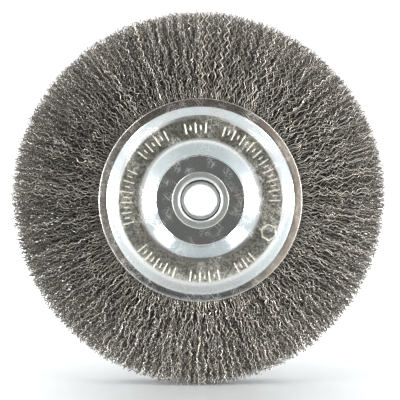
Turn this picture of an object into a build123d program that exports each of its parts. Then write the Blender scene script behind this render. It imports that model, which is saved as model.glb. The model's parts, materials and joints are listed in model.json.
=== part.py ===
"""Crimped wire wheel for a bench grinder, as an assembly of its real pieces.

Frame: millimetres, +Z up. The origin is the middle of the arbor bore, on the wheel's
mid-plane. The wheel spins about the Y axis, and its marked front side faces -Y.

Two pressed steel side plates hold a ring of crimped wire between their rims. Each wire is
a hairpin looped over a heavy retaining ring, which sits in the hollow shoulder that the
plates form. A spacer ring keeps the plates apart at the hub, and a flanged eyelet rivets
the stack together. A loose reducer bush in the eyelet brings its bore down to the spindle.

Every section is drawn in the XY plane, with X as the radius and Y along the spin axis, and
is then turned about Y.
"""

import os
from math import acos, atan2, cos, degrees, hypot, sin

from build123d import *

# Wire ring
WHEEL_DIAMETER = 150.0  # over the trimmed wire tips
FACE_WIDTH = 19.0  # of the brush, across the wire tips
FACE_CROWN = 0.8  # how much lower the tips are at the sides than in the middle
BUNDLE_COUNT = 24  # sectors that the hairpins are grouped in, each against the next

# Arbor
ARBOR_BORE = 12.7  # half-inch spindle
BUSH_DIAMETER = 15.875  # five-eighths of an inch, the eyelet's own size
BUSH_LENGTH = 11.0
BUSH_CHAMFER = 0.35
SLIP_CLEARANCE = 0.05  # radial, bush in eyelet

# Eyelet
EYELET_WALL = 1.0
EYELET_FLANGE_WIDTH = 2.65  # that the flange stands out from the tube
EYELET_FLANGE_THICKNESS = 1.2
EYELET_LIP_RADIUS = 1.7  # where the bore rolls over into the flange
EYELET_ROOT_RADIUS = 0.4  # under the flange, at the tube
EYELET_EDGE_RADIUS = 0.45  # of the flange's outer edge

# Spacer ring
SPACER_LENGTH = 7.6  # sets the gap between the plates at the hub
SPACER_WALL = 6.0
SPACER_CHAMFER = 0.6
HUB_CLEARANCE = 0.06  # radial, spacer over the eyelet's tube

# Side plates
SHEET = 1.0
HUB_FLAT_MARGIN = 6.5  # flat hub face left outside the eyelet's flange
INNER_SLOPE_WIDTH = 6.2  # from the hub flat up to the shoulder
SHOULDER_WIDTH = 9.7  # the raised flat band that carries the marks
OUTER_SLOPE_WIDTH = 4.4  # from the shoulder down to the rim
RIM_WIDTH = 3.1  # the flat band that clamps the wires
CREASE_RADIUS = 0.6  # where the hub flat meets the inner slope
SHOULDER_INNER_RADIUS = 2.0
SHOULDER_OUTER_RADIUS = 1.8
RIM_STEP_RADIUS = 0.7
PLATE_EDGE_RADIUS = 0.45
PLATE_HOLE_CLEARANCE = 0.15  # radial, outside the curve under the eyelet's flange

# What the shoulder houses
RING_WIRE_DIAMETER = 4.0
RING_CLEARANCE = 0.1  # around the retaining ring's wire
RING_BUTT_GAP = 1.0  # between the bent ring's two ends
BEND_THICKNESS = 5.0  # of the wires looped over the ring
BEND_CLEARANCE = 0.7  # from the looped wires to the plates
CLAMP_GAP = 8.4  # between the plates at the rim, filled by the wires
FAN_START = 0.5  # how far past the plate's edge the wires start to fan out

# The hub, from the bore outwards
bush_radius = BUSH_DIAMETER / 2 - SLIP_CLEARANCE
eyelet_bore_radius = bush_radius + SLIP_CLEARANCE
eyelet_tube_radius = eyelet_bore_radius + EYELET_WALL
eyelet_flange_radius = eyelet_tube_radius + EYELET_FLANGE_WIDTH
spacer_bore_radius = eyelet_tube_radius + HUB_CLEARANCE
spacer_radius = spacer_bore_radius + SPACER_WALL
plate_hole_radius = eyelet_tube_radius + EYELET_ROOT_RADIUS + PLATE_HOLE_CLEARANCE

# The plate, from the hub flat outwards
hub_flat_radius = eyelet_flange_radius + HUB_FLAT_MARGIN
shoulder_start = hub_flat_radius + INNER_SLOPE_WIDTH
shoulder_end = shoulder_start + SHOULDER_WIDTH
rim_start = shoulder_end + OUTER_SLOPE_WIDTH
plate_radius = rim_start + RIM_WIDTH

# Half heights of the plates' outer faces above the mid-plane
bend_radius = RING_WIRE_DIAMETER / 2 + RING_CLEARANCE + BEND_THICKNESS
hub_height = SPACER_LENGTH / 2 + SHEET
shoulder_height = bend_radius + BEND_CLEARANCE + SHEET
rim_height = CLAMP_GAP / 2 + SHEET

ring_radius = (shoulder_start + shoulder_end) / 2
tip_radius = WHEEL_DIAMETER / 2
bundle_angle = 360 / BUNDLE_COUNT


def parallel_corners(points, distance):
    """The corners of a line that runs beside this one, distance to its right."""
    headings = [atan2(b[1] - a[1], b[0] - a[0]) for a, b in zip(points, points[1:])]
    before = headings[:1] + headings
    after = headings + headings[-1:]
    moved = []
    for (x, y), first, second in zip(points, before, after):
        middle = (first + second) / 2
        reach = distance / cos((second - first) / 2)
        moved.append((x + reach * sin(middle), y - reach * cos(middle)))
    return moved


def plate_corners():
    """The corners of the plate's outer face above the mid-plane, from its hub hole to its rim."""
    return [
        (plate_hole_radius, hub_height),
        (hub_flat_radius, hub_height),
        (shoulder_start, shoulder_height),
        (shoulder_end, shoulder_height),
        (rim_start, rim_height),
        (plate_radius, rim_height),
    ]


def plate_section():
    """The side plate's section above the mid-plane: one sheet with four bends."""
    outer = plate_corners()
    inner = parallel_corners(outer, SHEET)
    outer_bends = [CREASE_RADIUS, SHOULDER_INNER_RADIUS, SHOULDER_OUTER_RADIUS, RIM_STEP_RADIUS]
    inner_bends = [
        CREASE_RADIUS + SHEET,
        SHOULDER_INNER_RADIUS - SHEET,
        SHOULDER_OUTER_RADIUS - SHEET,
        RIM_STEP_RADIUS + SHEET,
    ]
    outline = [
        FilletPolyline(*outer, radius=outer_bends),
        Line(outer[-1], inner[-1]),
        FilletPolyline(*inner, radius=inner_bends),
        Line(inner[0], outer[0]),
    ]
    section = make_face(outline)
    rim_corners = section.vertices().sort_by(Axis.X)[-2:]
    return fillet(rim_corners, radius=PLATE_EDGE_RADIUS)


def side_plate():
    """The rear side plate. The front one is its mirror image."""
    return revolve(plate_section(), Axis.Y)


def hub_eyelet():
    """The tubular rivet: a bore with a rolled lip and a flange at each end."""
    flange_face = hub_height + EYELET_FLANGE_THICKNESS
    section = make_face(
        Polyline(
            (eyelet_bore_radius, 0),
            (eyelet_bore_radius, flange_face),
            (eyelet_flange_radius, flange_face),
            (eyelet_flange_radius, hub_height),
            (eyelet_tube_radius, hub_height),
            (eyelet_tube_radius, 0),
            close=True,
        )
    )
    rounded_corners = [
        (eyelet_bore_radius, flange_face, EYELET_LIP_RADIUS),
        (eyelet_flange_radius, flange_face, EYELET_EDGE_RADIUS),
        (eyelet_flange_radius, hub_height, EYELET_EDGE_RADIUS),
        (eyelet_tube_radius, hub_height, EYELET_ROOT_RADIUS),
    ]
    for x, y, radius in rounded_corners:
        corner = section.vertices().sort_by_distance((x, y, 0))[0]
        section = fillet(corner, radius=radius)
    return revolve(section + mirror(section, about=Plane.XZ), Axis.Y)


def plain_sleeve(bore_radius, outer_radius, length, chamfer_size):
    """A straight sleeve about the spin axis, with all four edges broken."""
    section = Pos((bore_radius + outer_radius) / 2, 0) * Rectangle(
        outer_radius - bore_radius, length
    )
    section = chamfer(section.vertices(), length=chamfer_size)
    return revolve(section, Axis.Y)


def retaining_ring():
    """The heavy ring of bent wire, open by a small gap where its ends butt."""
    gap_angle = degrees(RING_BUTT_GAP / ring_radius)
    section = Pos(ring_radius, 0) * Circle(RING_WIRE_DIAMETER / 2)
    ring = revolve(section, Axis.Y, revolution_arc=360 - gap_angle)
    return Rot(0, gap_angle / 2, 0) * ring


def bundle_section():
    """The section of the wires: looped over the ring, clamped at the rim, fanned at the tips."""
    clamp_height = CLAMP_GAP / 2
    clamp_start = parallel_corners(plate_corners(), SHEET)[-2][0]
    fan_start = plate_radius + FAN_START
    side_radius = tip_radius - FACE_CROWN
    side_height = FACE_WIDTH / 2
    # From the clamp inwards, the wires run straight and meet the bend round the ring at a tangent.
    run = clamp_start - ring_radius
    reach = hypot(run, clamp_height)
    touch = atan2(clamp_height, run) + acos(bend_radius / reach)
    touch_point = (ring_radius + bend_radius * cos(touch), bend_radius * sin(touch))
    upper = [
        Line(touch_point, (clamp_start, clamp_height)),
        Line((clamp_start, clamp_height), (fan_start, clamp_height)),
        Line((fan_start, clamp_height), (side_radius, side_height)),
    ]
    lower = [mirror(line, about=Plane.XZ) for line in upper]
    bend = ThreePointArc(
        touch_point,
        (ring_radius - bend_radius, 0),
        (touch_point[0], -touch_point[1]),
    )
    crown = ThreePointArc((side_radius, side_height), (tip_radius, 0), (side_radius, -side_height))
    outline = make_face([*upper, crown, *lower, bend])
    return outline - Pos(ring_radius, 0) * Circle(RING_WIRE_DIAMETER / 2 + RING_CLEARANCE)


def wire_bundles():
    """The sectors of hairpin wires, numbered clockwise from the top as the front shows them."""
    sector = revolve(bundle_section(), Axis.Y, revolution_arc=bundle_angle)
    top_sector = Rot(0, -90, 0) * sector
    return {
        f"wire_bundle_{index + 1:02d}": Rot(0, index * bundle_angle, 0) * top_sector
        for index in range(BUNDLE_COUNT)
    }


def all_pieces():
    """Every piece of the wheel, by node name."""
    rear = side_plate()
    pieces = {
        "front_side_plate": mirror(rear, about=Plane.XZ),
        "rear_side_plate": rear,
        "hub_eyelet": hub_eyelet(),
        "spacer_ring": plain_sleeve(
            spacer_bore_radius, spacer_radius, SPACER_LENGTH, SPACER_CHAMFER
        ),
        "retaining_ring": retaining_ring(),
        "reducer_bush": plain_sleeve(ARBOR_BORE / 2, bush_radius, BUSH_LENGTH, BUSH_CHAMFER),
    }
    pieces.update(wire_bundles())
    return pieces


os.makedirs("parts", exist_ok=True)
for name, solid in all_pieces().items():
    export_step(solid, f"parts/{name}.step")
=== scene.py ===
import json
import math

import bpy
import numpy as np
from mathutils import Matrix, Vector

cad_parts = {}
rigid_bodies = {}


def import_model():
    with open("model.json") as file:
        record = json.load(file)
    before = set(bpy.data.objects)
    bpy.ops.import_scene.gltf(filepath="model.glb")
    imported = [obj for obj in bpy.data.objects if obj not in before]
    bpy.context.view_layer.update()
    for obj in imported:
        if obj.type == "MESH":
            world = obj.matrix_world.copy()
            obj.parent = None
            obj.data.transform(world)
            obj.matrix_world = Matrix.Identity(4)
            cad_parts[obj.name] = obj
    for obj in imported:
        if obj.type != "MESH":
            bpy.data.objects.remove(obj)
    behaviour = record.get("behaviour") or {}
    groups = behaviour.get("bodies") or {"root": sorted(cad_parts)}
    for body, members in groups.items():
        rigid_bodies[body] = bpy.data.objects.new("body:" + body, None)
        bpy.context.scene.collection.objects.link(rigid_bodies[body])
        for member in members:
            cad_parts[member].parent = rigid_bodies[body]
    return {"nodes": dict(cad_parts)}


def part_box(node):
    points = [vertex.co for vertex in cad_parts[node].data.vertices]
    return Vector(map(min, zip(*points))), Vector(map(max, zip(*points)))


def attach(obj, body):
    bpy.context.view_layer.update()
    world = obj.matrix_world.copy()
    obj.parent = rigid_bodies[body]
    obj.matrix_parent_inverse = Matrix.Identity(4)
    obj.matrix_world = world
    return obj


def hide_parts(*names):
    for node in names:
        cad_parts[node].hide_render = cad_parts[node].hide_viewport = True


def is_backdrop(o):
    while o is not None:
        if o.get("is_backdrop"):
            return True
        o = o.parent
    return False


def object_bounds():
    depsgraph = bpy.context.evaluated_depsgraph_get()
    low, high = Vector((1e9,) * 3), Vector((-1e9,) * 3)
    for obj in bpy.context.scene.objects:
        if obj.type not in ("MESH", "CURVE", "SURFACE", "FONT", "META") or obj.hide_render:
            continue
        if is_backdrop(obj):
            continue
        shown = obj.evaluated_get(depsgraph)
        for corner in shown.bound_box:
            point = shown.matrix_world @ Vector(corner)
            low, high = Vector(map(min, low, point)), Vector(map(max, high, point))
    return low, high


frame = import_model()

# A crimped wire wheel for a bench grinder: two pressed and zinc-plated side plates hold a
# ring of crimped hairpin wires, and an eyelet with a loose reducer bush forms the hub.
# Everything is in metres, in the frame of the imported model: the wheel spins about Y, the
# marked front side faces -Y, and +Z is up. Angles round the wheel run clockwise from the
# top, as the front shows them.

cad_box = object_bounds()

MM = 0.001
BUNDLES = sorted(name for name in frame["nodes"] if name.startswith("wire_bundle"))

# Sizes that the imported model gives.
plate_low, plate_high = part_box("rear_side_plate")
eyelet_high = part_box("hub_eyelet")[1]
bush_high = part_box("reducer_bush")[1]
ring_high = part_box("retaining_ring")[1]

PLATE_RADIUS = plate_high.x
SHOULDER_HEIGHT = plate_high.y
HUB_INNER_HEIGHT = plate_low.y
FLANGE_RADIUS = eyelet_high.x
FLANGE_HEIGHT = eyelet_high.y
BUSH_RADIUS = bush_high.x
BUSH_HALF_LENGTH = bush_high.y
RING_WIRE_RADIUS = ring_high.y
RING_RADIUS = ring_high.x - RING_WIRE_RADIUS
WHEEL_RADIUS = cad_box[1].x
WHEEL_HALF_WIDTH = cad_box[1].y

# Sizes of the sections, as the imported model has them.
SHEET = 1.0 * MM
HUB_HEIGHT = HUB_INNER_HEIGHT + SHEET
CLAMP_HALF_GAP = 4.2 * MM
RIM_HEIGHT = CLAMP_HALF_GAP + SHEET
PLATE_HOLE_RADIUS = 9.49 * MM
HUB_FLAT_RADIUS = 18.09 * MM
SHOULDER_START = 24.29 * MM
SHOULDER_END = 33.99 * MM
RIM_START = 38.39 * MM
EYELET_BORE_RADIUS = 7.9375 * MM
EYELET_TUBE_RADIUS = 8.9375 * MM
BUSH_BORE_RADIUS = 6.35 * MM

# How finely the turned pieces are divided: how far a small, a middling and a wide bend turn
# from row to row, and the steps of each piece round the spin axis.
SMALL_BEND = 0.5 * MM
WIDE_BEND = 2.0 * MM
SMALL_ARC_STEP = math.radians(23)
ARC_STEP = math.radians(15)
WIDE_ARC_STEP = math.radians(6.5)
PLATE_SEGMENTS = 1050
REAR_SEGMENTS = 480
HUB_SEGMENTS = 256


# ---------------------------------------------------------------- node formulas

class Term:
    """A node socket that turns a formula written with it into math nodes."""

    def __init__(self, tree, socket):
        self.tree = tree
        self.socket = socket

    def math(self, operation, *others):
        node = self.tree.nodes.new("ShaderNodeMath")
        node.operation = operation
        for slot, item in zip(node.inputs, (self, *others)):
            feed(self.tree, slot, item)
        return Term(self.tree, node.outputs[0])

    def __add__(self, other):
        return self.math("ADD", other)

    def __sub__(self, other):
        return self.math("SUBTRACT", other)

    def __rsub__(self, other):
        return self.math("MULTIPLY", -1.0) + other

    def __mul__(self, other):
        return self.math("MULTIPLY", other)

    def __truediv__(self, other):
        return self.math("DIVIDE", other)

    __radd__ = __add__

    def least(self, other):
        return self.math("MINIMUM", other)

    def most(self, other):
        return self.math("MAXIMUM", other)

    def between(self, low, high):
        return self.most(low).least(high)

    def smooth(self, low, high, start=0.0, end=1.0):
        """From start to end as this goes from low to high, eased at both."""
        node = self.tree.nodes.new("ShaderNodeMapRange")
        node.interpolation_type = "SMOOTHSTEP"
        for slot, item in zip(node.inputs, (self, low, high, start, end)):
            feed(self.tree, slot, item)
        return Term(self.tree, node.outputs[0])


def feed(tree, slot, item):
    """Links a term to a socket, or sets a plain value on it."""
    if isinstance(item, Term):
        tree.links.new(item.socket, slot)
    else:
        slot.default_value = item


def add(tree, kind, output=0, settings=None, **values):
    """Adds a node, feeds its inputs by name, and gives the output as a term."""
    node = tree.nodes.new(kind)
    for key, value in (settings or {}).items():
        setattr(node, key, value)
    for key, value in values.items():
        name = key.replace("_", " ")
        slot = next(s for s in node.inputs if s.enabled and s.name == name)
        feed(tree, slot, value)
    if isinstance(output, str):
        return Term(tree, next(s for s in node.outputs if s.enabled and s.name == output))
    return Term(tree, node.outputs[output])


def new_group(name, kind, inputs, outputs):
    """A node group with named sockets, given as (name, type, default) and (name, type)."""
    tree = bpy.data.node_groups.new(name, kind)
    for label, socket_type, default in inputs:
        socket = tree.interface.new_socket(name=label, in_out="INPUT", socket_type=socket_type)
        if default is not None:
            socket.default_value = default
    for label, socket_type in outputs:
        tree.interface.new_socket(name=label, in_out="OUTPUT", socket_type=socket_type)
    source = tree.nodes.new("NodeGroupInput")
    sink = tree.nodes.new("NodeGroupOutput")
    given = {socket.name: Term(tree, socket) for socket in source.outputs if socket.name}
    return tree, given, sink


FLOAT = "NodeSocketFloat"
VECTOR = "NodeSocketVector"
COLOR = "NodeSocketColor"
GEOMETRY = "NodeSocketGeometry"
MATERIAL = "NodeSocketMaterial"
INTEGER = "NodeSocketInt"


# ---------------------------------------------------------------- shared finishes

def noise(tree, vector, scale, detail=2.0, roughness=0.5):
    return add(
        tree, "ShaderNodeTexNoise", "Fac", Vector=vector, Scale=scale, Detail=detail,
        Roughness=roughness,
    )


def stretched(tree, vector, turn, scale):
    """The vector turned about the spin axis and then scaled unevenly, for streaks."""
    return add(
        tree, "ShaderNodeMapping", settings={"vector_type": "TEXTURE"}, Vector=vector,
        Rotation=(0.0, turn, 0.0), Scale=tuple(1.0 / factor for factor in scale),
    )


# Scratches: how far each set is turned about the spin axis and how closely it is packed, per
# metre, and the length of a scratch in its own widths.
SCRATCH_SETS = [(0.3, 3800.0), (1.35, 5200.0), (2.4, 3100.0)]
SCRATCH_SLENDERNESS = 22
SCRATCH_SOFTNESS = 0.06
SCRATCHED_PATCH_SCALE = 160.0


def scratches_group():
    """Fine straight scratches in three directions, in patches, as a mask."""
    tree, given, sink = new_group(
        "fine_scratches", "ShaderNodeTree",
        [("Vector", VECTOR, None), ("Density", FLOAT, 1.0), ("Threshold", FLOAT, 0.7)],
        [("Mask", FLOAT)],
    )
    total = None
    for turn, packing in SCRATCH_SETS:
        scale = (packing, 1.0, packing / SCRATCH_SLENDERNESS)
        streaks = stretched(tree, given["Vector"], turn, scale)
        lines = noise(tree, streaks, given["Density"], detail=1.0)
        mask = lines.smooth(given["Threshold"], given["Threshold"] + SCRATCH_SOFTNESS)
        total = mask if total is None else total.most(mask)
    patches = noise(tree, given["Vector"], SCRATCHED_PATCH_SCALE, detail=1.0).smooth(0.42, 0.62)
    feed(tree, sink.inputs["Mask"], total * patches)
    return tree


def wear_group():
    """Where an edge has been rubbed bright, from a mesh's edge attribute and noise."""
    tree, given, sink = new_group(
        "edge_wear", "ShaderNodeTree",
        [("Vector", VECTOR, None), ("Edge", FLOAT, 0.0), ("Scale", FLOAT, 900.0),
         ("Amount", FLOAT, 0.5)],
        [("Mask", FLOAT)],
    )
    broken = noise(tree, given["Vector"], given["Scale"], detail=3.0)
    low = 1.0 - given["Amount"]
    feed(tree, sink.inputs["Mask"], given["Edge"] * (broken + 0.2).smooth(low - 0.25, low + 0.15))
    return tree


def grain_group():
    """A fine lumpy grain of plated sheet: a height for the bump and a value for the tone."""
    tree, given, sink = new_group(
        "plating_grain", "ShaderNodeTree",
        [("Vector", VECTOR, None), ("Scale", FLOAT, 2000.0), ("Coarse", FLOAT, 0.5)],
        [("Height", FLOAT), ("Tone", FLOAT)],
    )
    fine = noise(tree, given["Vector"], given["Scale"], detail=3.0, roughness=0.6)
    coarse = noise(tree, given["Vector"], given["Scale"] * 0.37, detail=2.0)
    feed(tree, sink.inputs["Height"], fine + coarse * given["Coarse"])
    feed(tree, sink.inputs["Tone"], (fine * 0.6 + coarse * 0.4).smooth(0.36, 0.64))
    return tree


def bloom_group():
    """The faint warm, rosy and bluish clouds of a clear passivated zinc plate."""
    tree, given, sink = new_group(
        "plating_bloom", "ShaderNodeTree",
        [("Vector", VECTOR, None), ("Scale", FLOAT, 90.0), ("Base", COLOR, (0.8, 0.8, 0.8, 1)),
         ("Warm", COLOR, (0.8, 0.7, 0.6, 1)), ("Rose", COLOR, (0.8, 0.66, 0.64, 1)),
         ("Cool", COLOR, (0.7, 0.8, 0.82, 1)), ("Strength", FLOAT, 0.5)],
        [("Color", COLOR)],
    )
    color = given["Base"]
    for index, tint in enumerate(("Warm", "Rose", "Cool")):
        place = moved(tree, given["Vector"], (0.37 * index, 0.11 * index, 0.53 * index))
        cloud = noise(tree, place, given["Scale"]).smooth(0.5, 0.68)
        color = mixed(tree, cloud * given["Strength"], color, given[tint])
    feed(tree, sink.inputs["Color"], color)
    return tree


def moved(tree, vector, step):
    """The vector with a fixed step added, so that a second pattern differs from the first."""
    node = tree.nodes.new("ShaderNodeVectorMath")
    node.operation = "ADD"
    feed(tree, node.inputs[0], vector)
    feed(tree, node.inputs[1], step)
    return Term(tree, node.outputs[0])


def mixed(tree, factor, first, second):
    """The first colour turned into the second one by the factor."""
    node = tree.nodes.new("ShaderNodeMix")
    node.data_type = "RGBA"
    slots = {s.name: s for s in node.inputs if s.enabled}
    feed(tree, slots["Factor"], factor)
    feed(tree, slots["A"], first)
    feed(tree, slots["B"], second)
    return Term(tree, next(s for s in node.outputs if s.enabled))


SCRATCHES = scratches_group()
EDGE_WEAR = wear_group()
GRAIN = grain_group()
BLOOM = bloom_group()


def new_material(name, metallic=1.0, **constants):
    """A material with its Principled shader, ready for its nodes."""
    material = bpy.data.materials.new(name)
    material.use_nodes = True
    tree = material.node_tree
    shader = tree.nodes["Principled BSDF"]
    shader.inputs["Metallic"].default_value = metallic
    for key, value in constants.items():
        shader.inputs[key.replace("_", " ")].default_value = value
    return material, tree, shader


def placed(tree, group, output, **values):
    """Places a shared finish in a material and gives one of its outputs."""
    return add(tree, "ShaderNodeGroup", output, settings={"node_tree": group}, **values)


def also(term, output):
    """Another output of the node that a term comes from."""
    return Term(term.tree, term.socket.node.outputs[output])


def attribute(tree, name):
    return add(tree, "ShaderNodeAttribute", "Fac", settings={"attribute_name": name})


def object_place(tree):
    return add(tree, "ShaderNodeTexCoord", "Object")


def bump(tree, shader, height, distance):
    node = tree.nodes.new("ShaderNodeBump")
    node.inputs["Distance"].default_value = distance
    feed(tree, node.inputs["Height"], height)
    tree.links.new(node.outputs["Normal"], shader.inputs["Normal"])


def split(tree, vector):
    """The three parts of a vector."""
    node = tree.nodes.new("ShaderNodeSeparateXYZ")
    feed(tree, node.inputs[0], vector)
    return tuple(Term(tree, socket) for socket in node.outputs)


def length_of(first, second):
    """The length of a flat vector, from its two parts."""
    return (first * first + second * second).math("SQRT")


# Zinc plate and the clouds in it: bright on the slopes, olive on the raised band, browned by
# heat on the rim, and satin on the eyelet.
BRIGHT_ZINC = {
    "Scale": 85.0, "Strength": 0.4, "Base": (0.76, 0.80, 0.81, 1),
    "Warm": (0.79, 0.76, 0.70, 1), "Rose": (0.79, 0.73, 0.73, 1), "Cool": (0.67, 0.76, 0.78, 1),
}
OLIVE_ZINC = {
    "Scale": 160.0, "Strength": 0.6, "Base": (0.74, 0.73, 0.64, 1),
    "Warm": (0.75, 0.68, 0.53, 1), "Rose": (0.70, 0.60, 0.56, 1), "Cool": (0.54, 0.60, 0.56, 1),
}
BROWNED_ZINC = {
    "Scale": 70.0, "Strength": 0.7, "Base": (0.62, 0.56, 0.53, 1),
    "Warm": (0.74, 0.62, 0.50, 1), "Rose": (0.70, 0.56, 0.56, 1), "Cool": (0.42, 0.47, 0.54, 1),
}
SATIN_ZINC = {
    "Scale": 210.0, "Strength": 0.4, "Base": (0.87, 0.89, 0.85, 1),
    "Warm": (0.86, 0.82, 0.74, 1), "Rose": (0.74, 0.70, 0.68, 1), "Cool": (0.68, 0.76, 0.72, 1),
}
# Painted shade for the inner slope, which darkens its bright reflection.
INNER_SLOPE_PAINTED_SHADE = (0.60, 0.66, 0.68, 1)
# Painted reflection and shade on the rim: darker blue-grey below, paler at the left and rosier at
# the right.
RIM_PAINTED_SHADE_BELOW = (0.40, 0.42, 0.43, 1)
RIM_PAINTED_SHEEN_LEFT = (0.85, 0.76, 0.70, 1)
RIM_PAINTED_SHEEN_RIGHT = (0.78, 0.66, 0.56, 1)
PITS = (0.16, 0.155, 0.13, 1)
SCORED_ZINC = (0.92, 0.92, 0.9, 1)
RUBBED_ZINC = (0.93, 0.92, 0.90, 1)
# Painted highlight: the pale tone of the stamped strokes.
STAMP_PAINTED_HIGHLIGHT = (0.90, 0.85, 0.74, 1)
SATIN_MOTTLE = (0.46, 0.48, 0.44, 1)
RUBBED_SATIN = (0.93, 0.93, 0.9, 1)
# Painted shade in the gap between the eyelet and the bush.
SEAM_PAINTED_SHADE = (0.12, 0.14, 0.15, 1)

# The other steels, and the dark tones that mottle them.
TURNED_STEEL = (0.84, 0.86, 0.86, 1)
TURNED_MOTTLE = (0.68, 0.70, 0.71, 1)
RUBBED_STEEL = (0.8, 0.8, 0.82, 1)
DRAWN_STEEL = (0.50, 0.49, 0.47, 1)
DRAWN_MOTTLE = (0.33, 0.32, 0.31, 1)
DARK_WIRE = (0.42, 0.385, 0.335, 1)
PALE_WIRE = (1.0, 0.92, 0.81, 1)
SPOTTED_WIRE = (0.24, 0.215, 0.185, 1)
# Painted shade for the wires deep in the brush, where light does not reach.
DEEP_WIRE_PAINTED_SHADE = (0.05, 0.044, 0.036, 1)


def rim_finish(tree, place, rim):
    """The rim's colour: browned, with painted reflection and shade that make it darker blue-grey
    below, paler at the left and rosier at the right, and the masks for the right and the left.
    """
    x, _, z = split(tree, place)
    right = x.smooth(0.01, 0.035) * rim
    left = (x * -1.0).smooth(0.02, 0.038) * rim
    below = (z * -1.0).smooth(0.02, 0.038) * rim
    color = placed(tree, BLOOM, "Color", Vector=place, **BROWNED_ZINC)
    # Painted shade below, and painted reflection at the left and the right.
    color = mixed(tree, below, color, RIM_PAINTED_SHADE_BELOW)
    color = mixed(tree, left, color, RIM_PAINTED_SHEEN_LEFT)
    color = mixed(tree, right, color, RIM_PAINTED_SHEEN_RIGHT)
    return color, right, left


def zinc_plate_material():
    """Clear zinc on pressed sheet: bright slopes, a lumpy shoulder, stamped marks painted pale as a
    highlight.

    The shoulder is dull and olive, and the inner slope is painted a little darker than the outer
    one, as painted shade on its bright reflection.
    The rim is browned, with painted reflection and shade: rosy at the right, paler at the left and
    blue-grey below.
    """
    material, tree, shader = new_material("zinc_plated_sheet")
    place = object_place(tree)
    shoulder = attribute(tree, "shoulder")
    rim = attribute(tree, "rim")
    stamp = attribute(tree, "stamp")
    worn = placed(tree, EDGE_WEAR, "Mask", Vector=place, Edge=attribute(tree, "edge"), Amount=0.6)
    grain = placed(tree, GRAIN, "Height", Vector=place, Scale=2100.0, Coarse=0.6)
    tone = also(grain, "Tone").smooth(0.25, 0.75)
    scratches = placed(tree, SCRATCHES, "Mask", Vector=place, Density=1.0, Threshold=0.58)
    x, _, z = split(tree, place)
    radius = length_of(x, z)
    inner_slope = radius.smooth(HUB_FLAT_RADIUS + 0.3 * MM, HUB_FLAT_RADIUS + 1.2 * MM)
    inner_slope = inner_slope * (1.0 - radius.smooth(SHOULDER_START - 0.8 * MM, SHOULDER_START))
    bright = placed(tree, BLOOM, "Color", Vector=place, **BRIGHT_ZINC)
    olive = placed(tree, BLOOM, "Color", Vector=place, **OLIVE_ZINC)
    rim_browning_and_sheen, right, left = rim_finish(tree, place, rim)
    pitted = tone * (shoulder * 0.65 + rim * 0.5 + 0.08) * (1.0 - right * 0.7)
    # Painted shade: the inner slope is darkened to tone down its bright reflection.
    color = mixed(tree, inner_slope * 0.75, bright, INNER_SLOPE_PAINTED_SHADE)
    color = mixed(tree, shoulder, color, olive)
    color = mixed(tree, rim, color, rim_browning_and_sheen)
    color = mixed(tree, pitted, color, PITS)
    color = mixed(tree, scratches * 0.35, color, SCORED_ZINC)
    color = mixed(tree, worn, color, RUBBED_ZINC)
    # The stamped strokes are painted pale, as a painted highlight.
    feed(tree, shader.inputs["Base Color"], mixed(tree, stamp, color, STAMP_PAINTED_HIGHLIGHT))
    roughness = shoulder * 0.16 + rim * 0.06 + right * 0.22 + left * 0.12 + scratches * 0.3 + 0.12
    feed(tree, shader.inputs["Roughness"], roughness + stamp * 0.3)
    relief = grain * (shoulder * 0.8 + rim * 0.3 + 0.15) * (1.0 - stamp)
    bump(tree, shader, relief, 0.05 * MM)
    return material


def eyelet_material():
    """Satin zinc on the rolled eyelet: mottled, rubbed at its outer edge, with painted shade in the
    bore at the seam with the bush.
    """
    material, tree, shader = new_material("satin_zinc_eyelet")
    place = object_place(tree)
    worn = placed(tree, EDGE_WEAR, "Mask", Vector=place, Edge=attribute(tree, "edge"), Amount=0.6)
    grain = placed(tree, GRAIN, "Height", Vector=place, Scale=1500.0, Coarse=0.8)
    tone = also(grain, "Tone")
    x, _, z = split(tree, place)
    # Painted shade: the bore and the lip's inner edge are darkened where the bush sits in the gap.
    past_seam = length_of(x, z).smooth(EYELET_BORE_RADIUS + 0.05 * MM, EYELET_BORE_RADIUS + 0.4 * MM)
    color = placed(tree, BLOOM, "Color", Vector=place, **SATIN_ZINC)
    color = mixed(tree, tone * 0.5, color, SATIN_MOTTLE)
    color = mixed(tree, 1.0 - past_seam, color, SEAM_PAINTED_SHADE)
    feed(tree, shader.inputs["Base Color"], mixed(tree, worn, color, RUBBED_SATIN))
    feed(tree, shader.inputs["Roughness"], tone * 0.14 + 0.3)
    bump(tree, shader, grain, 0.03 * MM)
    return material


def bush_material():
    """Turned steel with fine rings from the tool, a little blue-grey, with painted shade at the seam
    with the eyelet.
    """
    material, tree, shader = new_material("turned_steel_bush")
    place = object_place(tree)
    x, y, z = split(tree, place)
    radius = length_of(x, z)
    rings = (radius * 21000.0 + y * 9000.0).math("SINE")
    grain = placed(tree, GRAIN, "Height", Vector=place, Scale=2200.0, Coarse=0.6)
    tone = also(grain, "Tone")
    worn = placed(tree, EDGE_WEAR, "Mask", Vector=place, Edge=attribute(tree, "edge"), Amount=0.4)
    # Painted shade: the bush's outer side and the outer edge of its ends are darkened where they
    # meet the eyelet.
    seam = radius.smooth(BUSH_RADIUS - 0.4 * MM, BUSH_RADIUS - 0.1 * MM)
    color = mixed(tree, tone * 0.5, TURNED_STEEL, TURNED_MOTTLE)
    color = mixed(tree, worn * 0.5, color, RUBBED_STEEL)
    feed(tree, shader.inputs["Base Color"], mixed(tree, seam, color, SEAM_PAINTED_SHADE))
    feed(tree, shader.inputs["Roughness"], tone * 0.12 + 0.3)
    bump(tree, shader, grain * 0.4 + rings * 0.3, 0.02 * MM)
    return material


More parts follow.
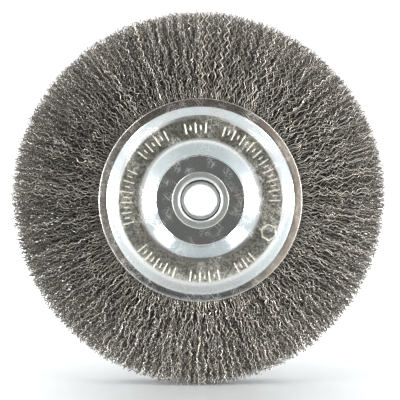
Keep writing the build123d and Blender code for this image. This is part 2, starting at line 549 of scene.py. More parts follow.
def plain_steel_material():
    """Drawn steel inside the wheel, grey and lightly oiled."""
    material, tree, shader = new_material("drawn_steel")
    place = object_place(tree)
    grain = placed(tree, GRAIN, "Height", Vector=place, Scale=1200.0, Coarse=0.8)
    tone = also(grain, "Tone")
    feed(tree, shader.inputs["Base Color"], mixed(tree, tone, DRAWN_STEEL, DRAWN_MOTTLE))
    feed(tree, shader.inputs["Roughness"], tone * 0.2 + 0.3)
    bump(tree, shader, grain, 0.03 * MM)
    return material


def wire_material():
    """Crimped carbon steel wire: each wire paler or darker, with painted shade on the wires deep in
    the brush.
    """
    material, tree, shader = new_material("crimped_wire_steel", metallic=0.65)
    place = object_place(tree)
    tone = attribute(tree, "tone")
    along = attribute(tree, "along")
    x, y, z = split(tree, place)
    out = (length_of(x, z) - PLATE_RADIUS) / (WHEEL_RADIUS - PLATE_RADIUS)
    face = CLAMP_HALF_GAP + out * (WHEEL_HALF_WIDTH - CLAMP_HALF_GAP)
    depth = face - y.math("ABSOLUTE")
    # Painted shade: wires below the brush's side faces are darkened, less so towards the tips.
    depth_shade = depth.smooth(-0.3 * MM, 1.5 * MM) * along.smooth(0.1, 0.9, 1.0, 0.6)
    spots = noise(tree, place, 420.0, detail=3.0).smooth(0.38, 0.66)
    color = mixed(tree, tone.smooth(0.0, 0.9), DARK_WIRE, PALE_WIRE)
    color = mixed(tree, spots * 0.35, color, SPOTTED_WIRE)
    feed(tree, shader.inputs["Base Color"], mixed(tree, depth_shade, color, DEEP_WIRE_PAINTED_SHADE))
    feed(tree, shader.inputs["Roughness"], spots * 0.15 + 0.2)
    return material


# ---------------------------------------------------------------- turned pieces

def rounded_loop(corners):
    """The points of a closed section, with arcs at its corners.

    Each corner is (distance from the spin axis, height along it, bend radius, rows in the
    run that follows). Gives the points as rows of an array, and how far each one lies on
    an outward bend, from 0 to 1.
    """
    points = [np.array(corner[:2]) for corner in corners]
    area = sum(
        a[0] * b[1] - b[0] * a[1] for a, b in zip(points, points[1:] + points[:1])
    )
    arcs = []
    for index, here in enumerate(points):
        to_before = unit(points[index - 1] - here)
        to_after = unit(points[(index + 1) % len(points)] - here)
        half = math.acos(np.clip(to_before @ to_after, -1, 1)) / 2
        bend = corners[index][2]
        centre = here + unit(to_before + to_after) * bend / math.sin(half)
        first = here + to_before * bend / math.tan(half) - centre
        turning = to_before[1] * to_after[0] - to_before[0] * to_after[1]
        turn = math.copysign(math.pi - 2 * half, turning)
        steps = max(2, math.ceil(abs(turn) / arc_step(bend)))
        outward = 1.0 if turning * area > 0 else 0.0
        arc = [centre + rotated(first, turn * k / steps) for k in range(steps + 1)]
        arcs.append((arc, outward))
    loop, edge = [], []
    for index, (arc, outward) in enumerate(arcs):
        loop += arc
        edge += [outward * math.sin(math.pi * k / (len(arc) - 1)) for k in range(len(arc))]
        start, end = arc[-1], arcs[(index + 1) % len(arcs)][0][0]
        shares = np.linspace(0, 1, corners[index][3] + 1)[1:-1]
        for share in shares:
            loop.append(start + (end - start) * share)
            edge.append(0.0)
    return np.array(loop), np.array(edge)


def arc_step(bend):
    """How far a bend of this radius turns from row to row."""
    if bend <= SMALL_BEND:
        return SMALL_ARC_STEP
    if bend >= WIDE_BEND:
        return WIDE_ARC_STEP
    return ARC_STEP


def unit(vector):
    return vector / np.linalg.norm(vector)


def rotated(vector, angle):
    c, s = math.cos(angle), math.sin(angle)
    return np.array([c * vector[0] - s * vector[1], s * vector[0] + c * vector[1]])


def normals_of(loop):
    """Unit vectors square to a closed section, on its outer side."""
    along = np.roll(loop, -1, axis=0) - np.roll(loop, 1, axis=0)
    square = np.stack([along[:, 1], -along[:, 0]], axis=1)
    square /= np.linalg.norm(square, axis=1)[:, None]
    x, y = loop[:, 0], loop[:, 1]
    area = np.sum(x * np.roll(y, -1) - np.roll(x, -1) * y)
    return square if area > 0 else -square


def turned(name, corners, segments, material, relief=None, attributes=None, crown=None):
    """A solid of revolution about the spin axis from a closed section.

    relief(radius, angle, normal_y) gives how far each point moves outwards, and
    attributes is a dict of name to a function of the same three arrays. crown(radius)
    gives how far the whole section sinks towards the mid-plane.
    """
    loop, edge = rounded_loop(corners)
    if crown is not None:
        loop[:, 1] -= np.sign(loop[:, 1]) * crown(loop[:, 0])
    square = normals_of(loop)
    angles = np.arange(segments) * 2 * math.pi / segments
    radius = np.repeat(loop[:, 0], segments)
    height = np.repeat(loop[:, 1], segments)
    square_r = np.repeat(square[:, 0], segments)
    square_y = np.repeat(square[:, 1], segments)
    angle = np.tile(angles, len(loop))
    if relief is not None:
        out = relief(radius, angle, square_y)
        radius = radius + square_r * out
        height = height + square_y * out
    places = np.stack([radius * np.sin(angle), height, radius * np.cos(angle)], axis=1)
    row = np.arange(len(loop))[:, None] * segments
    next_row = np.roll(np.arange(len(loop)), -1)[:, None] * segments
    column = np.arange(segments)[None, :]
    next_column = np.roll(np.arange(segments), -1)[None, :]
    faces = np.stack(
        [row + column, next_row + column, next_row + next_column, row + next_column], axis=-1,
    ).reshape(-1, 4)
    corner = places[faces]
    volume = np.einsum(
        "ij,ij->i", corner[:, 0], np.cross(corner[:, 1], corner[:, 2])
    ).sum() + np.einsum("ij,ij->i", corner[:, 0], np.cross(corner[:, 2], corner[:, 3])).sum()
    if volume < 0:
        faces = faces[:, ::-1]
    mesh = bpy.data.meshes.new(name)
    mesh.from_pydata(places.tolist(), [], faces.tolist())
    values = {"edge": np.repeat(edge, segments)}
    for label, rule in (attributes or {}).items():
        values[label] = rule(np.repeat(loop[:, 0], segments), angle, square_y)
    for label, data in values.items():
        layer = mesh.attributes.new(label, "FLOAT", "POINT")
        layer.data.foreach_set("value", data.astype(np.float32))
    mesh.shade_smooth()
    mesh.materials.append(material)
    piece = bpy.data.objects.new(name, mesh)
    bpy.context.scene.collection.objects.link(piece)
    return piece


def plate_corners(side):
    """The plate's section, from its hub hole out along the outer face and back inside.

    The shoulder has the closest rows, because the marks are stamped in it.
    """
    slope_in = math.atan2(SHOULDER_HEIGHT - HUB_HEIGHT, SHOULDER_START - HUB_FLAT_RADIUS)
    slope_out = math.atan2(SHOULDER_HEIGHT - RIM_HEIGHT, RIM_START - SHOULDER_END)
    shift_in = SHEET * math.tan(slope_in / 2)
    shift_out = SHEET * math.tan(slope_out / 2)
    edge = 0.42 * MM
    bead = 0.24 * MM
    droop = 0.05 * MM
    outer = [
        (PLATE_HOLE_RADIUS, HUB_HEIGHT, edge / 2, 4),
        (HUB_FLAT_RADIUS - 0.02 * MM, HUB_HEIGHT, 0.03 * MM, 1),
        (HUB_FLAT_RADIUS + 0.24 * MM, HUB_HEIGHT + bead, 0.04 * MM, 1),
        (HUB_FLAT_RADIUS + 0.46 * MM, HUB_HEIGHT + bead * 0.3, 0.03 * MM, 4),
        (SHOULDER_START - 0.2 * MM, SHOULDER_HEIGHT, 4.5 * MM, 15),
        (SHOULDER_END, SHOULDER_HEIGHT, 3.4 * MM, 3),
        (RIM_START - 0.25 * MM, RIM_HEIGHT, 0.9 * MM, 3),
        (PLATE_RADIUS, RIM_HEIGHT - droop, edge, 1),
    ]
    inner = [
        (PLATE_RADIUS, RIM_HEIGHT - SHEET, edge, 1),
        (RIM_START - shift_out, RIM_HEIGHT - SHEET, 1.5 * MM, 1),
        (SHOULDER_END - shift_out, SHOULDER_HEIGHT - SHEET, 0.5 * MM, 1),
        (SHOULDER_START + shift_in, SHOULDER_HEIGHT - SHEET, 0.6 * MM, 1),
        (HUB_FLAT_RADIUS + shift_in, HUB_HEIGHT - SHEET, 1.3 * MM, 1),
        (PLATE_HOLE_RADIUS, HUB_HEIGHT - SHEET, edge / 2, 1),
    ]
    return [(r, side * h, bend, rows) for r, h, bend, rows in outer + inner]


# Stamped marks: runs of tall and short bars in turn, like a scale, and one hexagonal badge.
# A bar is given by its half height, and a run by the angle of its first bar, the step to the
# next one, and how many it has.
TALL_BAR = 2.1 * MM
SHORT_BAR = 0.4 * TALL_BAR
BARS = [TALL_BAR, SHORT_BAR]
MARK_RUNS = [
    (254.0, 4.0, 11),
    (309.0, 3.95, 7),
    (348.4, 3.95, 5),
    (18.4, 3.9, 19),
    (136.4, 3.6, 5),
    (165.7, 3.7, 7),
    (200.8, 3.9, 9),
]
MARK_RADIUS = 30.2 * MM
MARKS_OFF_CENTRE = (0.0, -0.8 * MM)
STROKE_HALF_WIDTH = 0.2 * MM
STAMP_DEPTH = 0.14 * MM
MARK_REACH = 3.2 * MM  # a mark's strokes are cut off this far from its middle
FRONT_FACING = -0.6  # the Y part of a normal, below which a point is on the front face
BADGE_ANGLE = 113.5
BADGE_RADIUS = 3.3 * MM


def mark_strokes():
    """Every stroke on the band, as (angle of its mark, start, end).

    Start and end are measured from the mark's middle: along the band, and outwards.
    """
    strokes = []
    for first, step, count in MARK_RUNS:
        for index in range(count):
            angle = math.radians(first + index * step)
            end = np.array((0.0, BARS[index % len(BARS)]))
            strokes.append((angle, -end, end))
    corners = [
        BADGE_RADIUS * np.array([math.sin(math.tau * k / 6), math.cos(math.tau * k / 6)])
        for k in range(7)
    ]
    badge = math.radians(BADGE_ANGLE)
    strokes += [(badge, a, b) for a, b in zip(corners, corners[1:])]
    strokes.append((badge, np.zeros(2), np.zeros(2)))
    return strokes


def stamp_mask(radius, angle, square_y):
    """1 in the middle of a stamped stroke, 0 outside it, on the front face only.

    The marks run round a centre of their own, because the die struck a little off.
    """
    x = radius * np.sin(angle) - MARKS_OFF_CENTRE[0]
    z = radius * np.cos(angle) - MARKS_OFF_CENTRE[1]
    mark_radius, mark_angle = np.hypot(x, z), np.arctan2(x, z)
    mask = np.zeros_like(radius)
    on_face = (square_y < FRONT_FACING) & (np.abs(mark_radius - MARK_RADIUS) < MARK_REACH)
    for middle, start, end in mark_strokes():
        offset = (mark_angle - middle + math.pi) % math.tau - math.pi
        near = np.nonzero(on_face & (np.abs(offset) * MARK_RADIUS < MARK_REACH))[0]
        place = np.stack([offset[near] * MARK_RADIUS, mark_radius[near] - MARK_RADIUS], axis=1)
        line = end - start
        length_squared = line @ line
        share = 0
        if length_squared > 0:
            share = np.clip((place - start) @ line / length_squared, 0, 1)
        distance = np.linalg.norm(place - start - np.multiply.outer(share, line), axis=-1)
        edge = np.clip((1.5 * STROKE_HALF_WIDTH - distance) / STROKE_HALF_WIDTH, 0, 1)
        mask[near] = np.maximum(mask[near], edge * edge * (3 - 2 * edge))
    return mask


# The unevenness of pressed sheet: how many slow waves go round it, and its small dings.
WAVE_COUNTS = range(2, 12)
DING_COUNT = 14
DING_DEPTH = 0.05 * MM
PLATE_UNEVENNESS = 0.011 * MM
EYELET_UNEVENNESS = 0.008 * MM


def pressed_relief(seed, depth):
    """What makes the reflections of thin pressed sheet uneven: slow waves and small dings."""
    source = np.random.default_rng(seed)
    waves = []
    for count in WAVE_COUNTS:
        phase = source.uniform(0, math.tau)
        size = source.uniform(0.4, 1.0) * depth / count**0.5
        waves.append((count, phase, size, source.uniform(60, 240)))
    dings = [
        (source.uniform(14, 41) * MM, source.uniform(0, math.tau), source.uniform(0.5, 1.3) * MM)
        for _ in range(DING_COUNT)
    ]

    def relief(radius, angle, square_y):
        out = np.zeros_like(radius)
        for count, phase, size, twist in waves:
            out += size * np.sin(count * angle + phase + radius * twist)
        for ding_radius, ding_angle, size in dings:
            across = ((angle - ding_angle + math.pi) % math.tau - math.pi) * ding_radius
            distance = np.hypot(across, radius - ding_radius)
            out -= DING_DEPTH * np.exp(-((distance / size) ** 2))
        return out

    return relief


def shoulder_mask(radius, angle, square_y):
    """1 on the raised band, where the plate is lumpy and dull."""
    inside = np.clip((radius - SHOULDER_START - 0.1 * MM) / (0.5 * MM), 0, 1)
    outside = np.clip((SHOULDER_END - 0.3 * MM - radius) / (0.8 * MM), 0, 1)
    return inside * outside


def rim_mask(radius, angle, square_y):
    """1 on the flat rim."""
    return np.clip((radius - RIM_START + 0.2 * MM) / (0.5 * MM), 0, 1)


# The raised band is flat out to here, and then sinks by this much, times the square of the
# distance in millimetres.
CROWN_START = 29.3 * MM
CROWN_SINK = 0.0175 * MM


def shoulder_crown(radius):
    """How far the outer part of the raised band sinks, as the pressing left it."""
    past_start = np.clip(radius - CROWN_START, 0, SHOULDER_END - CROWN_START)
    sunk = (past_start / MM) ** 2 * CROWN_SINK
    return sunk * np.clip((RIM_START - radius) / (RIM_START - SHOULDER_END), 0, 1)


def front_plate(material):
    """The front side plate, with its stamped marks."""
    uneven = pressed_relief(seed=11, depth=PLATE_UNEVENNESS)

    def relief(radius, angle, square_y):
        return uneven(radius, angle, square_y) - STAMP_DEPTH * stamp_mask(radius, angle, square_y)

    piece = turned(
        "front_plate_pressing", plate_corners(-1), PLATE_SEGMENTS, material, relief,
        {"shoulder": shoulder_mask, "rim": rim_mask, "stamp": stamp_mask}, shoulder_crown,
    )
    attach(piece, "wheel")
    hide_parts("front_side_plate")


def rear_plate(material):
    """The rear side plate, plain."""
    piece = turned(
        "rear_plate_pressing", plate_corners(1), REAR_SEGMENTS, material,
        pressed_relief(seed=12, depth=PLATE_UNEVENNESS),
        {"shoulder": shoulder_mask, "rim": rim_mask}, shoulder_crown,
    )
    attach(piece, "wheel")
    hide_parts("rear_side_plate")


def eyelet(material):
    """The riveted eyelet: a tube whose ends are rolled out into flanges."""
    lip = 1.7 * MM
    edge = 0.4 * MM
    root = 0.3 * MM
    front = [
        (EYELET_BORE_RADIUS, -FLANGE_HEIGHT, lip, 6),
        (FLANGE_RADIUS, -FLANGE_HEIGHT, edge, 1),
        (FLANGE_RADIUS, -HUB_HEIGHT, edge, 3),
        (EYELET_TUBE_RADIUS, -HUB_HEIGHT, root, 4),
    ]
    rear = [(r, -h, bend, rows) for r, h, bend, rows in reversed(front)]
    uneven = pressed_relief(seed=13, depth=EYELET_UNEVENNESS)
    piece = turned("rolled_eyelet", front + rear, HUB_SEGMENTS, material, uneven)
    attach(piece, "wheel")
    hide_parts("hub_eyelet")


def bush(material):
    """The reducer bush, a turned sleeve with its edges broken."""
    cut = 0.3 * MM
    corners = [
        (BUSH_BORE_RADIUS, -BUSH_HALF_LENGTH, cut, 3),
        (BUSH_RADIUS, -BUSH_HALF_LENGTH, cut, 6),
        (BUSH_RADIUS, BUSH_HALF_LENGTH, cut, 3),
        (BUSH_BORE_RADIUS, BUSH_HALF_LENGTH, cut, 6),
    ]
    piece = turned("turned_bush", corners, HUB_SEGMENTS, material)
    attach(piece, "reducer")
    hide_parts("reducer_bush")


# ---------------------------------------------------------------- crimped wires

POINTS_PER_HAIRPIN = 110
HAIRPINS_PER_BUNDLE = 100

# How the hairpins share out the depth of the brush: steps of the golden ratio spread them
# evenly, each bundle starts at another place, and a power under 1 puts more near the faces.
GOLDEN_STEP = 0.618034
BUNDLE_STEP = 0.377
LAYER_POWER = 0.72

HIDDEN_POINTS = 0.07  # share of a leg's points that its part inside the plates takes
THIRD_HARMONIC = -0.11  # makes the crimp's wave nearly a zigzag
SEEDS_PER_BUNDLE = 40.0  # more than the draws of one bundle take

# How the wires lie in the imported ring: how far the outermost tips stay from its side faces,
# how far the outermost wires stay from the plates in the clamp, how far past the plates' edge
# the wires stay level, and how the ring's outline leans off the bore, to the side and up.
TIP_INSET = 0.4 * MM
CLAMP_INSET = 0.25 * MM
LEVEL_RUN = 0.4 * MM
RING_LEAN = (-0.8 * MM, 0.7 * MM)

# What the hairpins are made from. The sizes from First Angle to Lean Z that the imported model
# gives are set again for each bundle.
HAIRPIN_INPUTS = [
    ("Geometry", GEOMETRY, None),
    ("Hairpins", INTEGER, HAIRPINS_PER_BUNDLE),
    ("Seed", INTEGER, 0),
    ("First Angle", FLOAT, 0.0),
    ("Sector Angle", FLOAT, 0.26),
    ("Wire Radius", FLOAT, 0.185 * MM),
    ("Ring Radius", FLOAT, 29.0 * MM),
    ("Smallest Loop", FLOAT, 2.35 * MM),
    ("Largest Loop", FLOAT, 6.7 * MM),
    ("Clamp Start", FLOAT, 38.0 * MM),
    ("Clamp End", FLOAT, 42.0 * MM),
    ("Clamp Half Gap", FLOAT, 3.95 * MM),
    ("Tip Radius", FLOAT, 75.0 * MM),
    ("Tip Half Width", FLOAT, 9.2 * MM),
    ("Tip Unevenness", FLOAT, 0.9 * MM),
    ("Lean X", FLOAT, 0.0),
    ("Lean Z", FLOAT, 0.0),
    ("Crimp Length", FLOAT, 3.75 * MM),
    ("Crimp Height", FLOAT, 0.64 * MM),
    ("Nesting", FLOAT, 9.0),
    ("Wander", FLOAT, 0.4 * MM),
    ("Stray", FLOAT, 1.25 * MM),
    ("Clumping", FLOAT, 0.5 * MM),
    ("Material", MATERIAL, None),
]


def random_term(tree, low, high, identity, seed, offset):
    """A random number for each identity, drawn anew for each bundle's seed."""
    return add(
        tree, "FunctionNodeRandomValue", "Value", settings={"data_type": "FLOAT"},
        Min=low, Max=high, ID=identity, Seed=seed + offset,
    )


def hairpin_tree():
    """Hairpins looped over the retaining ring, clamped at the rim and fanned to their tips.

    Each hairpin is a straight line of points that is duplicated and then bent into place.
    One leg runs out on the front side and the other on the rear, and a point is placed by
    its distance from the loop's innermost point: round the ring, straight to the clamp,
    through the clamp, and out along the fan. The crimp is a wave square to that path.
    """
    tree, given, sink = new_group(
        "crimped_hairpins", "GeometryNodeTree", HAIRPIN_INPUTS, [("Geometry", GEOMETRY)],
    )
    line = add(tree, "GeometryNodeCurvePrimitiveLine", "Curve")
    points = add(
        tree, "GeometryNodeResampleCurve", "Curve", settings={"mode": "COUNT"},
        Curve=line, Count=POINTS_PER_HAIRPIN,
    )
    copies = add(
        tree, "GeometryNodeDuplicateElements", "Geometry", settings={"domain": "SPLINE"},
        Geometry=points, Amount=given["Hairpins"],
    )
    number = also(copies, "Duplicate Index")
    factor = add(tree, "GeometryNodeSplineParameter", "Factor")

    # Which leg a point is on, and how far out along it.
    signed = factor * 2.0 - 1.0
    leg = signed.math("SIGN")
    share = signed.math("ABSOLUTE")
    leg_number = number * 2.0 + signed.math("GREATER_THAN", 0.0)
    seed = given["Seed"] * SEEDS_PER_BUNDLE

    def per_hairpin(low, high, offset):
        return random_term(tree, low, high, number, seed, offset)

    def per_leg(low, high, offset):
        return random_term(tree, low, high, leg_number, seed, offset)

    # The loop round the ring, and the place in the clamp that goes with it. The layer is 0 at
    # the mid-plane and 1 at the face.
    shared = (number * GOLDEN_STEP + given["Seed"] * BUNDLE_STEP).math("FRACT")
    shared = (shared + per_hairpin(-0.03, 0.03, 1.0)).between(0.0, 1.0)
    layer = shared.math("POWER", LAYER_POWER)
    loop = given["Smallest Loop"] + layer * (given["Largest Loop"] - given["Smallest Loop"])
    clamp_height = given["Clamp Half Gap"] * (layer * 0.97 + 0.03)
    run = given["Clamp Start"] - given["Ring Radius"]
    reach = length_of(run, clamp_height)
    touch = clamp_height.math("ARCTAN2", run) + (loop / reach).math("ARCCOSINE")
    arc_length = loop * (math.pi - touch)
    straight_length = (reach * reach - loop * loop).math("SQRT")
    hidden = arc_length + straight_length
    clamp_length = given["Clamp End"] - given["Clamp Start"]

    # The tip, with the wheel's own unevenness.
    spread = (number + per_hairpin(0.0, 1.0, 2.0)) / given["Hairpins"]
    angle = given["First Angle"] + given["Sector Angle"] * spread
    uneven = (per_leg(-1.0, 1.0, 3.0) + per_leg(-1.0, 1.0, 4.0)) * 0.5 * given["Tip Unevenness"]
    lean = given["Lean X"] * angle.math("SINE") + given["Lean Z"] * angle.math("COSINE")
    tip_radius = given["Tip Radius"] + uneven + lean
    # The innermost wires stray across the mid-plane, so that the two sides close up.
    tip_height = (
        (layer * 1.02 - 0.02) * given["Tip Half Width"]
        + per_leg(-1.0, 1.0, 5.0) * (1.7 - layer * 1.2) * MM
    )
    fan_run = tip_radius - given["Clamp End"]
    fan_rise = tip_height - clamp_height
    fan_length = length_of(fan_run, fan_rise)
    length = hidden + clamp_length + fan_length

    # The hidden part takes few of the points, and the crimped part the rest.
    hidden_share = (share / HIDDEN_POINTS).least(1.0)
    seen_share = ((share - HIDDEN_POINTS) / (1.0 - HIDDEN_POINTS)).most(0.0)
    distance = hidden_share * hidden + seen_share * (length - hidden)
    on_arc = distance.least(arc_length)
    on_straight = (distance - arc_length).between(0.0, straight_length)
    on_clamp = (distance - hidden).between(0.0, clamp_length)
    on_fan = (distance - hidden - clamp_length).most(0.0)
    fan_share = on_fan / fan_length
    radius = (
        given["Ring Radius"] - loop * (on_arc / loop).math("COSINE")
        + on_straight * touch.math("SINE") + on_clamp + fan_share * fan_run
    )
    height = (
        loop * (on_arc / loop).math("SINE") - on_straight * touch.math("COSINE")
        + fan_share * fan_rise
    )

    # The crimp: a wave whose phase and plane neighbours share, because the wires nest.
    around = angle * radius
    field = add(
        tree, "ShaderNodeCombineXYZ", X=radius * 0.35, Y=around, Z=height * leg + leg * 2.0,
    )
    nest = add(tree, "ShaderNodeTexNoise", "Color", Vector=field, Scale=130.0, Detail=1.0)
    nest_phase, nest_plane, _ = split(tree, nest)
    pitch = given["Crimp Length"] * per_leg(0.97, 1.03, 6.0)
    phase = (
        distance / pitch * math.tau + (nest_phase - 0.5) * given["Nesting"] * 2.0
        + per_leg(-0.9, 0.9, 7.0)
    )
    wave = phase.math("SINE") + (phase * 3.0).math("SINE") * THIRD_HARMONIC
    crimp_height = given["Crimp Height"] * per_leg(0.75, 1.2, 8.0)
    opened = on_fan.smooth(0.0, 4.0 * MM, 0.45, 1.0) * (distance / hidden).smooth(0.75, 1.0)
    crimp = wave * crimp_height * opened
    plane = (nest_plane - 0.5) * 4.0 + per_leg(-0.6, 0.6, 9.0)

    # Stray lean of single wires, their slow weave, and the way that neighbours clump.
    stray = per_leg(-1.0, 1.0, 10.0) * per_leg(0.2, 1.0, 11.0) * given["Stray"]
    weave = on_fan / per_leg(9.0 * MM, 17.0 * MM, 14.0) * math.tau
    weave_out = (weave + per_leg(0.0, math.tau, 15.0)).math("SINE")
    weave_side = (weave * 0.83 + per_leg(0.0, math.tau, 16.0)).math("SINE")
    opening = on_fan.smooth(0.0, 8.0 * MM)
    where = add(
        tree, "ShaderNodeCombineXYZ", X=radius * 0.5, Y=around + leg * 3.0, Z=height * leg * 0.8,
    )
    gather = add(
        tree, "ShaderNodeTexNoise", "Color", Vector=where, Scale=150.0, Detail=1.5,
    )
    gather_x, gather_y, gather_z = split(tree, gather)
    clump = given["Clumping"] * fan_share.math("POWER", 0.6)
    sideways = (
        crimp * plane.math("COSINE") + stray * fan_share
        + weave_side * opening * given["Wander"] + (gather_x - 0.5) * clump
    )
    outwards = (
        crimp * plane.math("SINE") + weave_out * opening * given["Wander"]
        + (gather_y - 0.5) * clump * 0.8
    )
    turned_angle = angle + sideways / radius
    final_radius = radius + (gather_z - 0.5) * clump * 0.4
    place = add(
        tree, "ShaderNodeCombineXYZ",
        X=final_radius * turned_angle.math("SINE"),
        Y=(height + outwards) * leg,
        Z=final_radius * turned_angle.math("COSINE"),
    )
    bent = add(tree, "GeometryNodeSetPosition", "Geometry", Geometry=copies, Position=place)

    # What the finish reads: each wire's own tone, and how near its tip a point is.
    toned = stored(tree, bent, "tone", per_leg(0.0, 1.0, 13.0))
    marked = stored(tree, toned, "along", fan_share)
    wires = wire_tubes(tree, marked, given["Wire Radius"], given["Material"])
    feed(tree, sink.inputs["Geometry"], wires)
    return tree


def wire_tubes(tree, paths, radius, material):
    """The paths as closed three-sided tubes, shaded smooth."""
    profile = add(tree, "GeometryNodeCurvePrimitiveCircle", "Curve", Resolution=3, Radius=radius)
    tubes = add(
        tree, "GeometryNodeCurveToMesh", "Mesh", Curve=paths, Profile_Curve=profile,
        Fill_Caps=True,
    )
    smooth = add(tree, "GeometryNodeSetShadeSmooth", "Geometry", Geometry=tubes)
    whole = add(tree, "GeometryNodeRealizeInstances", "Geometry", Geometry=smooth)
    return add(tree, "GeometryNodeSetMaterial", "Geometry", Geometry=whole, Material=material)


def stored(tree, geometry, name, value):
    """Writes a value on every point of a curve, for the material to read."""
    return add(
        tree, "GeometryNodeStoreNamedAttribute", "Geometry",
        settings={"data_type": "FLOAT", "domain": "POINT"},
        Geometry=geometry, Name=name, Value=value,
    )


def grown(name, tree, values):
    """Runs a tree on an empty mesh and keeps the result as a plain mesh object."""
    host = bpy.data.objects.new(name + "_host", bpy.data.meshes.new(name + "_host"))
    bpy.context.scene.collection.objects.link(host)
    modifier = host.modifiers.new("grow", "NODES")
    modifier.node_group = tree
    for item in tree.interface.items_tree:
        if item.item_type == "SOCKET" and item.in_out == "INPUT" and item.name in values:
            modifier[item.identifier] = values[item.name]
    evaluated = host.evaluated_get(bpy.context.evaluated_depsgraph_get())
    mesh = bpy.data.meshes.new_from_object(evaluated)
    mesh.name = name
    bpy.data.objects.remove(host)
    piece = bpy.data.objects.new(name, mesh)
    bpy.context.scene.collection.objects.link(piece)
    return piece


def wire_bundles(material):
    """The hairpins of each bundle, one piece for each sector of the wheel."""
    tree = hairpin_tree()
    sector = math.tau / len(BUNDLES)
    for index, node in enumerate(BUNDLES):
        piece = grown(f"hairpins_{index + 1:02d}", tree, {
            "Hairpins": HAIRPINS_PER_BUNDLE,
            "Seed": index + 1,
            "First Angle": index * sector,
            "Sector Angle": sector,
            "Ring Radius": RING_RADIUS,
            "Tip Radius": WHEEL_RADIUS,
            "Tip Half Width": WHEEL_HALF_WIDTH - TIP_INSET,
            "Clamp Start": RIM_START,
            "Clamp End": PLATE_RADIUS + LEVEL_RUN,
            "Clamp Half Gap": CLAMP_HALF_GAP - CLAMP_INSET,
            "Lean X": RING_LEAN[0],
            "Lean Z": RING_LEAN[1],
            "Material": material,
        })
        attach(piece, "wheel")
        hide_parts(node)


# ---------------------------------------------------------------- stage

CAMERA_SIDE = -0.0002
CAMERA_DISTANCE = 0.45
CAMERA_RISE = 0.012
CAMERA_LENS = 98.5
CAMERA_SENSOR = 36

# The dark patch that the flat faces mirror, as an oval in front of the wheel: its middle and
# its half size, as sines of the angles to the side and up, how far it fades, and its level.
PATCH_MIDDLE = (-0.02, 0.30)
PATCH_HALF_SIZE = (0.36, 0.50)
PATCH_FADE = 1.22
PATCH_LEVEL = 0.17
PATCH_TINT = (1.0, 0.985, 0.93, 1)

# The room's brightness: in its middle, what its sides and its top and bottom add, how much
# dimmer it is ahead of the wheel, and behind it. The camera sees its own plain white.
ROOM_MIDDLE = 0.6
ROOM_SIDES = 0.85
ROOM_TOP_AND_BOTTOM = 0.4
ROOM_AHEAD_DIMMED = 0.35
ROOM_BEHIND = 1.1
ROOM_TINT = (0.95, 0.99, 1.0, 1)
CAMERA_WHITE = 1.05

# Each light's name, place, size and power: a wide one behind and above the wheel, and small
# ones well off the camera's axis, which draw the highlights along the wires.
FRONT_LIGHT_SIZE = (0.2, 0.2)
LIGHTS = [
    ("rear_softbox", (0.0, 0.9, 1.1), (1.6, 0.7), 5.0),
    ("front_light_left", (-0.66, -0.3, 0.02), FRONT_LIGHT_SIZE, 3.8),
    ("front_light_right", (0.66, -0.3, 0.02), FRONT_LIGHT_SIZE, 2.5),
    ("front_light_top_left", (-0.52, -0.34, 0.5), FRONT_LIGHT_SIZE, 1.1),
    ("front_light_top_right", (0.52, -0.34, 0.5), FRONT_LIGHT_SIZE, 1.1),
]

# The floor: its half size, how strongly and over what distance from the wheel it fades to
# white for the camera, and where reflections begin to see it, going from the front inwards.
FLOOR_HALF_SIZE = 3.0
FLOOR_GLOW = 0.85
FLOOR_FADE = (0.03, 0.22)
FLOOR_MIRRORED_FROM = (-0.18, -0.16)
FLOOR_TONES = [(0.72, 0.73, 0.73, 1), (0.75, 0.76, 0.76, 1)]


def camera():
    """In front of the wheel, a little above the bore."""
    data = bpy.data.cameras.new("front_camera")
    data.lens = CAMERA_LENS
    data.sensor_width = CAMERA_SENSOR
    piece = bpy.data.objects.new("front_camera", data)
    piece.location = (CAMERA_SIDE, -CAMERA_DISTANCE, CAMERA_RISE)
    piece.rotation_euler = (math.pi / 2 - math.atan2(CAMERA_RISE, CAMERA_DISTANCE), 0, 0)
    bpy.context.scene.collection.objects.link(piece)
    bpy.context.scene.camera = piece


def softbox(name, place, size, power):
    """An area light that faces the wheel."""
    data = bpy.data.lights.new(name, "AREA")
    data.shape = "RECTANGLE"
    data.size, data.size_y = size
    data.energy = power
    light = bpy.data.objects.new(name, data)
    light.location = place
    light.rotation_mode = "QUATERNION"
    light.rotation_quaternion = (-light.location).to_track_quat("-Z", "Y")
    bpy.context.scene.collection.objects.link(light)


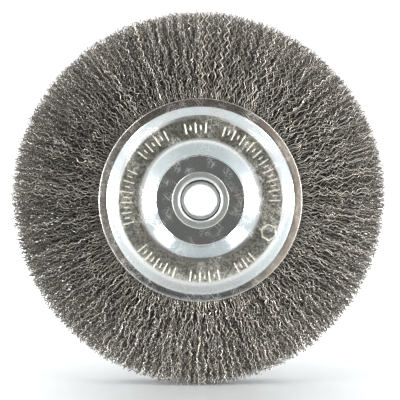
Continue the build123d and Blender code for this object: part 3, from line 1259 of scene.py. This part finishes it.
def studio_world():
    """A white studio: bright walls at both sides, and a dark patch above the camera.

    The camera itself sees a plain white background whichever way it looks.
    """
    world = bpy.data.worlds.new("white_studio")
    world.use_nodes = True
    bpy.context.scene.world = world
    tree = world.node_tree
    x, y, z = split(tree, add(tree, "ShaderNodeTexCoord", "Generated"))
    off_x = (x - PATCH_MIDDLE[0]) / PATCH_HALF_SIZE[0]
    off_z = (z - PATCH_MIDDLE[1]) / PATCH_HALF_SIZE[1]
    off_patch = length_of(off_x, off_z) + y.smooth(-0.1, 0.1)
    open_room = off_patch.smooth(1.0, PATCH_FADE)
    ahead = (y * -1.0).most(0.0)
    room = x * x * ROOM_SIDES + z * z * ROOM_TOP_AND_BOTTOM + ROOM_MIDDLE
    room = room * (1.0 - ahead * ROOM_AHEAD_DIMMED)
    behind = y.smooth(0.1, 0.5) * (1.0 - z.smooth(0.25, 0.6))
    walls = room * (1.0 - behind) + behind * ROOM_BEHIND
    level = walls * open_room + (1.0 - open_room) * PATCH_LEVEL
    seen = add(tree, "ShaderNodeLightPath", "Is Camera Ray")
    tint = mixed(tree, open_room, PATCH_TINT, ROOM_TINT)
    background = tree.nodes["Background"]
    feed(tree, background.inputs["Color"], mixed(tree, seen, tint, (1, 1, 1, 1)))
    feed(tree, background.inputs["Strength"], level * (1.0 - seen) + seen * CAMERA_WHITE)


def floor(height):
    """A wide pale floor under the wheel, which fades to white away from it.

    The plate mirrors the room below it, and not the floor in front of the wheel.
    """
    corners = [
        (x * FLOOR_HALF_SIZE, y * FLOOR_HALF_SIZE, height)
        for x, y in ((-1, -1), (1, -1), (1, 1), (-1, 1))
    ]
    mesh = bpy.data.meshes.new("floor")
    mesh.from_pydata(corners, [], [(0, 1, 2, 3)])
    material, tree, shader = new_material("pale_floor", metallic=0.0, Roughness=0.35)
    place = object_place(tree)
    tone = noise(tree, place, 6.0)
    feed(tree, shader.inputs["Base Color"], mixed(tree, tone, *FLOOR_TONES))
    x, y, _ = split(tree, place)
    seen = add(tree, "ShaderNodeLightPath", "Is Camera Ray")
    mirrored = also(seen, "Is Glossy Ray")
    glow = length_of(x, y).smooth(*FLOOR_FADE) * seen * FLOOR_GLOW
    shader.inputs["Emission Strength"].default_value = 1.0
    feed(tree, shader.inputs["Emission Color"],
         add(tree, "ShaderNodeCombineXYZ", X=glow, Y=glow, Z=glow))
    in_front = 1.0 - y.smooth(*FLOOR_MIRRORED_FROM)
    feed(tree, shader.inputs["Alpha"], 1.0 - mirrored * in_front)
    mesh.materials.append(material)
    piece = bpy.data.objects.new("floor", mesh)
    bpy.context.scene.collection.objects.link(piece)
    piece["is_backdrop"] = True


def main():
    bpy.context.scene.view_settings.view_transform = "Standard"
    zinc = zinc_plate_material()
    front_plate(zinc)
    rear_plate(zinc)
    eyelet(eyelet_material())
    bush(bush_material())
    plain = plain_steel_material()
    for node in ("spacer_ring", "retaining_ring"):
        for material_slot in bpy.data.objects[node].material_slots:
            material_slot.material = plain
    wire_bundles(wire_material())
    camera()
    studio_world()
    for light in LIGHTS:
        softbox(*light)
    floor(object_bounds()[0].z)


main()
